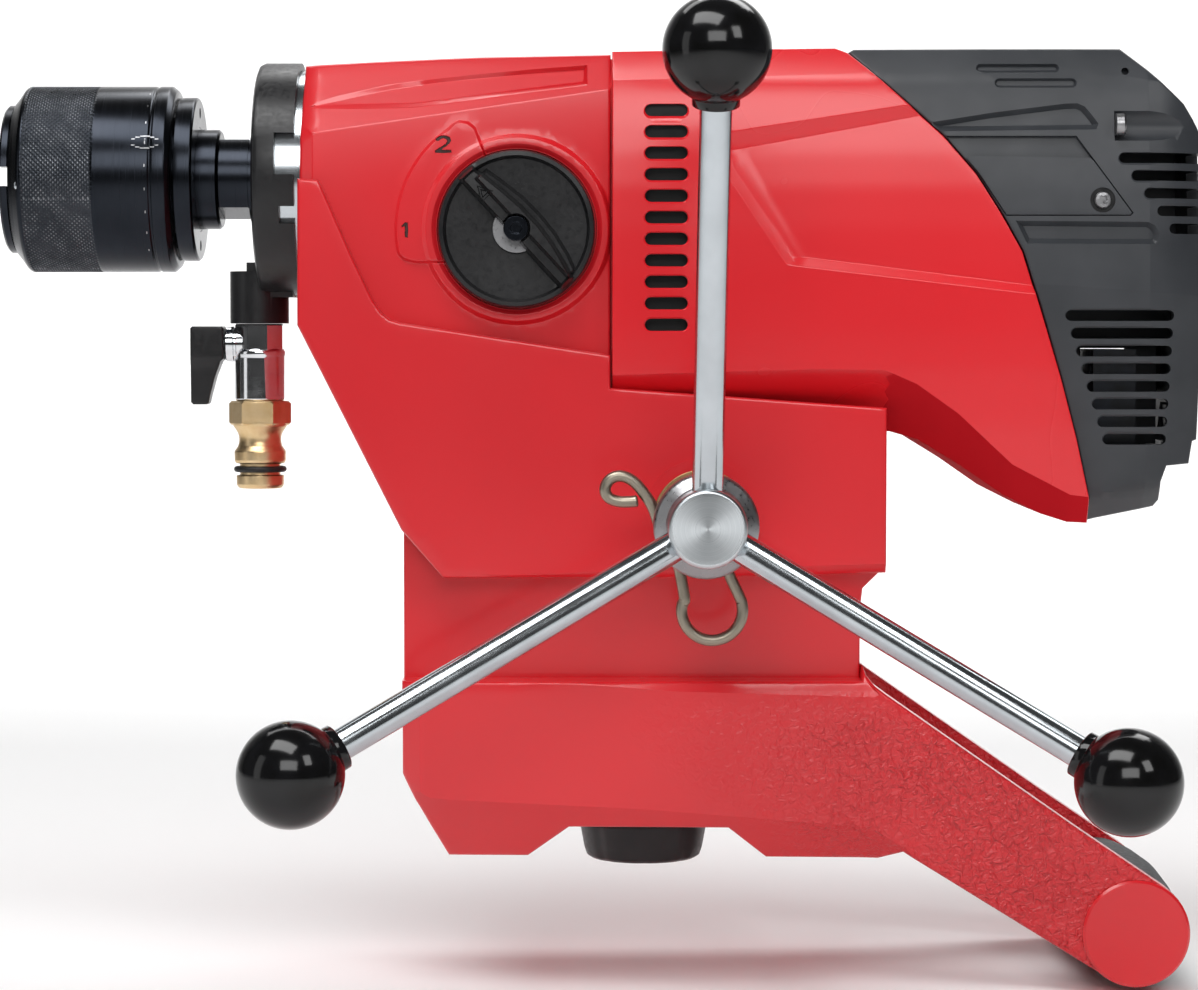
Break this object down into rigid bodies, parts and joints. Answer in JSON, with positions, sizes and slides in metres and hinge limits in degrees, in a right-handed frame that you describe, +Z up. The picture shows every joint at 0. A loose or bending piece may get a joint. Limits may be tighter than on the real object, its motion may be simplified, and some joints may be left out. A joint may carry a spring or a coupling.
{
  "type": "core drill rig",
  "caption": "Rig-mounted wet core drill: drilling machine on a column carriage with quick chuck, water valve, gear selector, three-arm feed wheel and carrying handle.",
  "frame": {"origin": "centre of the square column channel of the carriage, half way along it", "axes": "+X along the column and the spindle towards the rear of the machine, +Y away from the handwheel side, +Z up from the column towards the spindle"},
  "size_m": [0.4124, 0.2556, 0.3235],
  "materials": {
    "red_casting": "glossy red paint with a fine orange-peel grain over cast aluminium",
    "red_plastic": "smooth red moulded plastic, semi-gloss",
    "charcoal_plastic": "charcoal moulded plastic, fine spark texture",
    "black_plastic": "black moulded plastic, satin",
    "ball_plastic": "black phenolic, high gloss",
    "black_steel": "blued turned steel, oiled, with diamond knurl",
    "bright_steel": "zinc-bright turned steel",
    "gear_steel": "hardened machined steel",
    "chrome": "nickel-chrome plate",
    "brass": "turned brass",
    "bronze": "sintered bronze",
    "rubber": "nitrile rubber",
    "grip_rubber": "dark grey soft rubber, matt",
    "wire": "drawn spring wire, grey-brown",
    "alloy": "machined die-cast aluminium",
    "laminations": "varnished laminated iron",
    "copper": "commutator copper",
    "carbon": "pressed carbon",
    "board": "potted control board",
    "brake_lining": "brown woven brake lining on steel"
  },
  "bodies": {
    "frame": {"gear_housing": "red_casting", "gear_plate": "alloy", "nose_ring": "bright_steel", "water_collar": "black_plastic", "water_seals": "rubber", "valve_body": "chrome", "hose_nipple": "brass", "nipple_o_ring": "rubber", "spindle_bearings": "gear_steel", "spindle_seal": "rubber", "small_bearings": "gear_steel", "motor_flange": "alloy", "field_pack": "laminations", "end_bridge": "black_plastic", "brush_holders": "brass", "carbon_brushes": "carbon", "motor_housing": "red_plastic", "rear_cover": "charcoal_plastic", "brush_covers": "charcoal_plastic", "cover_screws": "black_steel", "housing_screws": "gear_steel", "control_module": "board", "cord_gland": "rubber", "carriage": "red_casting", "guide_shoes": "black_plastic", "machine_bolts": "gear_steel", "feed_bushes": "bronze", "handle_tube": "bright_steel", "handle_grip": "grip_rubber", "grip_caps": "red_plastic"},
    "spindle": {"spindle": "black_steel", "chuck_body": "black_steel", "chuck_jaws": "gear_steel", "chuck_ring": "black_steel", "high_gear": "gear_steel"},
    "lock_sleeve": {"chuck_sleeve": "black_steel"},
    "shift_collar": {"shift_collar": "gear_steel"},
    "low_gear": {"low_gear": "gear_steel"},
    "layshaft": {"layshaft": "gear_steel", "layshaft_gear": "gear_steel"},
    "armature": {"armature_shaft": "gear_steel", "rotor_core": "laminations", "commutator": "copper", "fan": "black_plastic"},
    "selector": {"selector_knob": "charcoal_plastic", "selector_screw": "black_steel", "selector_shaft": "gear_steel"},
    "shift_fork": {"shift_fork": "bronze"},
    "valve_handle": {"valve_lever": "black_plastic", "valve_ball": "chrome"},
    "rocker": {"power_switch": "black_plastic"},
    "handwheel": {"feed_shaft": "bright_steel", "handwheel_hub": "bright_steel", "spokes": "bright_steel", "ball_knobs": "ball_plastic", "wire_clip": "wire"},
    "column_lock": {"lock_knob": "black_plastic", "clamp_screw": "gear_steel"},
    "brake": {"brake_shoe": "brake_lining"}
  },
  "joints": [
    {"name": "spindle_spin", "type": "hinge", "parent": "frame", "child": "spindle", "pos_m": [-0.1, 0, 0.165], "axis": [1, 0, 0], "continuous": true},
    {"name": "chuck_lock", "type": "hinge", "parent": "spindle", "child": "lock_sleeve", "pos_m": [-0.185, 0, 0.165], "axis": [1, 0, 0], "range_deg": [0, 30]},
    {"name": "shift_collar_slide", "type": "slide", "parent": "spindle", "child": "shift_collar", "axis": [1, 0, 0], "range_m": [-0.004, 0]},
    {"name": "low_gear_spin", "type": "hinge", "parent": "frame", "child": "low_gear", "pos_m": [-0.058, 0, 0.165], "axis": [1, 0, 0], "continuous": true},
    {"name": "layshaft_spin", "type": "hinge", "parent": "frame", "child": "layshaft", "pos_m": [-0.05, 0, 0.129], "axis": [1, 0, 0], "continuous": true},
    {"name": "armature_spin", "type": "hinge", "parent": "frame", "child": "armature", "pos_m": [0.06, 0, 0.157], "axis": [1, 0, 0], "continuous": true},
    {"name": "selector_turn", "type": "hinge", "parent": "frame", "child": "selector", "pos_m": [-0.0393, -0.05, 0.1462], "axis": [0, 1, 0], "range_deg": [-45, 0]},
    {"name": "fork_slide", "type": "slide", "parent": "frame", "child": "shift_fork", "axis": [1, 0, 0], "range_m": [-0.004, 0]},
    {"name": "valve_turn", "type": "hinge", "parent": "frame", "child": "valve_handle", "pos_m": [-0.1304, 0, 0.1077], "axis": [1, 0, 0], "range_deg": [0, 90]},
    {"name": "switch_rock", "type": "hinge", "parent": "frame", "child": "rocker", "pos_m": [0.1886, 0, 0.0803], "axis": [0, 1, 0], "range_deg": [0, 8]},
    {"name": "handwheel_spin", "type": "hinge", "parent": "frame", "child": "handwheel", "pos_m": [0.0228, -0.1, 0.0495], "axis": [0, 1, 0], "continuous": true},
    {"name": "lock_turn", "type": "hinge", "parent": "frame", "child": "column_lock", "pos_m": [0.0036, 0, -0.06], "axis": [0, 0, 1], "range_deg": [0, 180]},
    {"name": "brake_slide", "type": "slide", "parent": "frame", "child": "brake", "axis": [0, 0, 1], "range_m": [0, 0.000875]}
  ],
  "couplings": [
    {"joint": "layshaft_spin", "follows": "spindle_spin", "ratio": -1.4},
    {"joint": "armature_spin", "follows": "spindle_spin", "ratio": 6.44},
    {"joint": "low_gear_spin", "follows": "spindle_spin", "ratio": 0.46667},
    {"joint": "shift_collar_slide", "follows": "selector_turn", "m_per_rad": 0.00509},
    {"joint": "fork_slide", "follows": "selector_turn", "m_per_rad": 0.00509},
    {"joint": "brake_slide", "follows": "lock_turn", "m_per_rad": 0.0002785}
  ]
}
